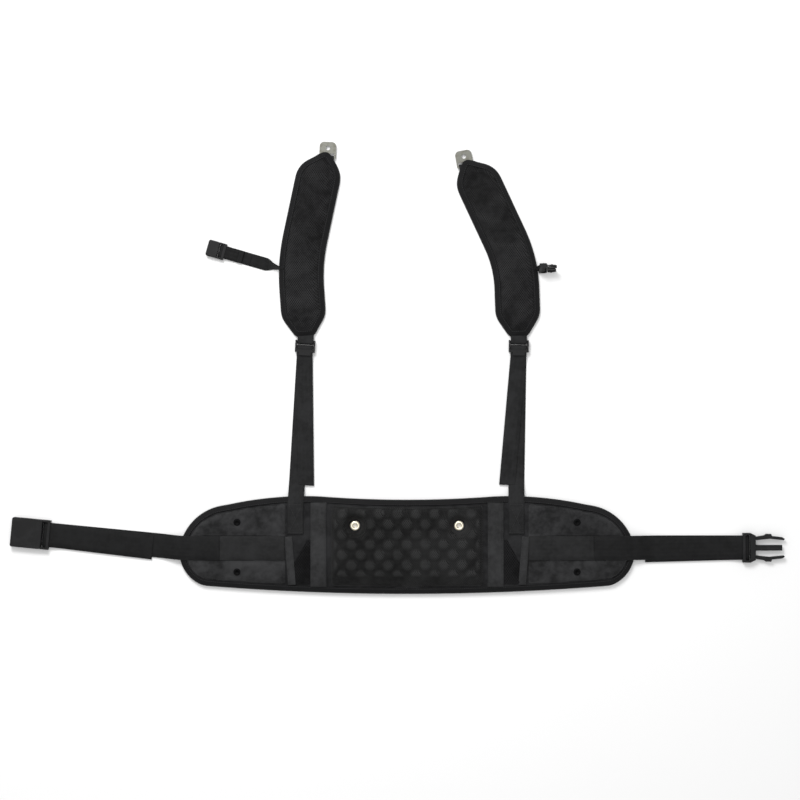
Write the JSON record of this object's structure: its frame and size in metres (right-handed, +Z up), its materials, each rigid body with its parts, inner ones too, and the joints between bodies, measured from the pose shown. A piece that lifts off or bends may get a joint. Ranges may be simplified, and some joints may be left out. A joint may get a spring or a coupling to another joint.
{
  "type": "padded pack-frame harness",
  "caption": "Padded hip belt with folding wings and two padded shoulder straps, with webbing, ladder locks, side-release buckles and pin tabs for an external pack frame.",
  "frame": {"origin": "midway between the two frame grommets, on the surface the harness lies on", "axes": "+X across the belt, +Y from the belt towards the shoulder straps, +Z up from the surface"},
  "size_m": [1.2138, 0.7089, 0.0267],
  "materials": {
    "lining": "brushed knit lining",
    "board": "matt sheet",
    "foam": "closed-cell foam",
    "shell": "plain-weave pack cloth",
    "binding": "ribbed grosgrain tape",
    "lumbar_mesh": "spacer mesh",
    "pad_mesh": "spacer mesh",
    "wing_cloth": "quilted pack cloth",
    "webbing": "woven nylon webbing",
    "buckle": "moulded acetal",
    "brass": "polished",
    "eyelet": "black oxide",
    "tab_steel": "yellow-passivated zinc"
  },
  "bodies": {
    "belt": {"belt_lining": "lining", "belt_stiffener": "board", "belt_foam": "foam", "belt_shell": "shell", "belt_binding": "binding", "lumbar_pad": "lumbar_mesh", "frame_grommets": "brass", "grommet_washers": "brass", "side_webbings": "webbing", "shoulder_webbing_ends": "webbing"},
    "wing_left": {"wing_lining_left": "lining", "wing_foam_left": "foam", "wing_shell_left": "shell", "wing_binding_left": "binding", "wing_panel_left": "wing_cloth", "wing_band_left": "webbing", "wing_eyelets_left": "eyelet"},
    "waist_strap_left": {"waist_strap_left": "webbing"},
    "waist_socket": {"waist_loop_left": "webbing", "waist_buckle_socket": "buckle"},
    "wing_right": {"wing_lining_right": "lining", "wing_foam_right": "foam", "wing_shell_right": "shell", "wing_binding_right": "binding", "wing_panel_right": "wing_cloth", "wing_band_right": "webbing", "wing_eyelets_right": "eyelet"},
    "waist_strap_right": {"waist_strap_right": "webbing"},
    "waist_plug": {"waist_loop_right": "webbing", "waist_buckle_plug": "buckle"},
    "waist_arm_upper": {"waist_buckle_arm_upper": "buckle"},
    "waist_arm_lower": {"waist_buckle_arm_lower": "buckle"},
    "shoulder_webbing_left": {"shoulder_webbing_left": "webbing"},
    "ladder_lock_left": {"lock_loop_left": "webbing", "ladder_lock_left": "buckle"},
    "pad_left": {"pad_lining_left": "lining", "pad_foam_left": "foam", "pad_shell_left": "pad_mesh", "pad_binding_left": "binding", "pad_lower_loop_left": "webbing", "pad_upper_loop_left": "webbing"},
    "frame_tab_left": {"frame_tab_left": "tab_steel"},
    "sternum_strap_left": {"sternum_strap_left": "webbing"},
    "sternum_socket": {"sternum_loop_left": "webbing", "sternum_socket": "buckle"},
    "shoulder_webbing_right": {"shoulder_webbing_right": "webbing"},
    "ladder_lock_right": {"lock_loop_right": "webbing", "ladder_lock_right": "buckle"},
    "pad_right": {"pad_lining_right": "lining", "pad_foam_right": "foam", "pad_shell_right": "pad_mesh", "pad_binding_right": "binding", "pad_lower_loop_right": "webbing", "pad_upper_loop_right": "webbing"},
    "frame_tab_right": {"frame_tab_right": "tab_steel"},
    "sternum_stub": {"sternum_strap_right": "webbing", "sternum_plug": "buckle"},
    "sternum_arm_upper": {"sternum_arm_upper": "buckle"},
    "sternum_arm_lower": {"sternum_arm_lower": "buckle"}
  },
  "joints": [
    {"name": "wing_fold_left", "type": "hinge", "parent": "belt", "child": "wing_left", "pos_m": [-0.189, 0, 0.0145], "axis": [0, 1, 0], "range_deg": [0, 70]},
    {"name": "waist_strap_fold_left", "type": "hinge", "parent": "wing_left", "child": "waist_strap_left", "pos_m": [-0.355, -0.0345, 0.016], "axis": [0, 1, 0], "range_deg": [0, 60]},
    {"name": "waist_socket_fold", "type": "hinge", "parent": "waist_strap_left", "child": "waist_socket", "pos_m": [-0.55607, -0.01514, 0.00678], "axis": [0.0958, 0.9954, 0], "range_deg": [0, 45]},
    {"name": "wing_fold_right", "type": "hinge", "parent": "belt", "child": "wing_right", "pos_m": [0.189, 0, 0.0145], "axis": [0, -1, 0], "range_deg": [0, 70]},
    {"name": "waist_strap_fold_right", "type": "hinge", "parent": "wing_right", "child": "waist_strap_right", "pos_m": [0.355, -0.0345, 0.016], "axis": [0, -1, 0], "range_deg": [0, 60]},
    {"name": "waist_plug_fold", "type": "hinge", "parent": "waist_strap_right", "child": "waist_plug", "pos_m": [0.522, -0.0345, 0.00678], "axis": [0, -1, 0], "range_deg": [0, 45]},
    {"name": "waist_arm_flex_upper", "type": "hinge", "parent": "waist_plug", "child": "waist_arm_upper", "pos_m": [0.5467, -0.02024, 0.0057], "axis": [0, 0, -1], "range_deg": [0, 7], "stiffness_Nm_per_rad": 0.08},
    {"name": "waist_arm_flex_lower", "type": "hinge", "parent": "waist_plug", "child": "waist_arm_lower", "pos_m": [0.5467, -0.04876, 0.0057], "axis": [0, 0, 1], "range_deg": [0, 7], "stiffness_Nm_per_rad": 0.08},
    {"name": "shoulder_fold_left", "type": "hinge", "parent": "belt", "child": "shoulder_webbing_left", "pos_m": [-0.1745, 0.0353, 0.0158], "axis": [1, 0, 0], "range_deg": [0, 60]},
    {"name": "ladder_lock_fold_left", "type": "hinge", "parent": "shoulder_webbing_left", "child": "ladder_lock_left", "pos_m": [-0.16052, 0.26782, 0.00678], "axis": [0.9982, -0.06, 0], "range_deg": [0, 30]},
    {"name": "pad_swing_left", "type": "hinge", "parent": "ladder_lock_left", "child": "pad_left", "pos_m": [-0.15931, 0.28798, 0.0036], "axis": [0.9982, -0.06, 0], "range_deg": [0, 40]},
    {"name": "frame_tab_swing_left", "type": "hinge", "parent": "pad_left", "child": "frame_tab_left", "pos_m": [-0.12475, 0.57682, 0.0035], "axis": [-0.9986, 0.0523, 0], "range_deg": [0, 80]},
    {"name": "sternum_strap_fold_left", "type": "hinge", "parent": "pad_left", "child": "sternum_strap_left", "pos_m": [-0.20013, 0.40409, 0.0068], "axis": [0.0384, 0.9993, 0], "range_deg": [0, 60]},
    {"name": "sternum_socket_fold", "type": "hinge", "parent": "sternum_strap_left", "child": "sternum_socket", "pos_m": [-0.28087, 0.42724, 0.0056], "axis": [0.2756, 0.9613, 0], "range_deg": [0, 45]},
    {"name": "shoulder_fold_right", "type": "hinge", "parent": "belt", "child": "shoulder_webbing_right", "pos_m": [0.171, 0.0353, 0.0158], "axis": [1, 0, 0], "range_deg": [0, 60]},
    {"name": "ladder_lock_fold_right", "type": "hinge", "parent": "shoulder_webbing_right", "child": "ladder_lock_right", "pos_m": [0.1749, 0.2678, 0.00678], "axis": [0.9999, -0.0168, 0], "range_deg": [0, 30]},
    {"name": "pad_swing_right", "type": "hinge", "parent": "ladder_lock_right", "child": "pad_right", "pos_m": [0.17524, 0.288, 0.0036], "axis": [0.9999, -0.0168, 0], "range_deg": [0, 40]},
    {"name": "frame_tab_swing_right", "type": "hinge", "parent": "pad_right", "child": "frame_tab_right", "pos_m": [0.09156, 0.56366, 0.0035], "axis": [-0.9848, -0.1736, 0], "range_deg": [0, 80]},
    {"name": "sternum_stub_fold", "type": "hinge", "parent": "pad_right", "child": "sternum_stub", "pos_m": [0.20393, 0.40232, 0.0129], "axis": [0.1597, -0.9872, 0], "range_deg": [0, 60]},
    {"name": "sternum_arm_flex_upper", "type": "hinge", "parent": "sternum_stub", "child": "sternum_arm_upper", "pos_m": [0.22019, 0.40487, 0.02132], "axis": [-0.0166, 0.9509, -0.309], "range_deg": [0, 7], "stiffness_Nm_per_rad": 0.01},
    {"name": "sternum_arm_flex_lower", "type": "hinge", "parent": "sternum_stub", "child": "sternum_arm_lower", "pos_m": [0.22027, 0.39996, 0.00622], "axis": [0.0166, -0.9509, 0.309], "range_deg": [0, 7], "stiffness_Nm_per_rad": 0.01}
  ]
}
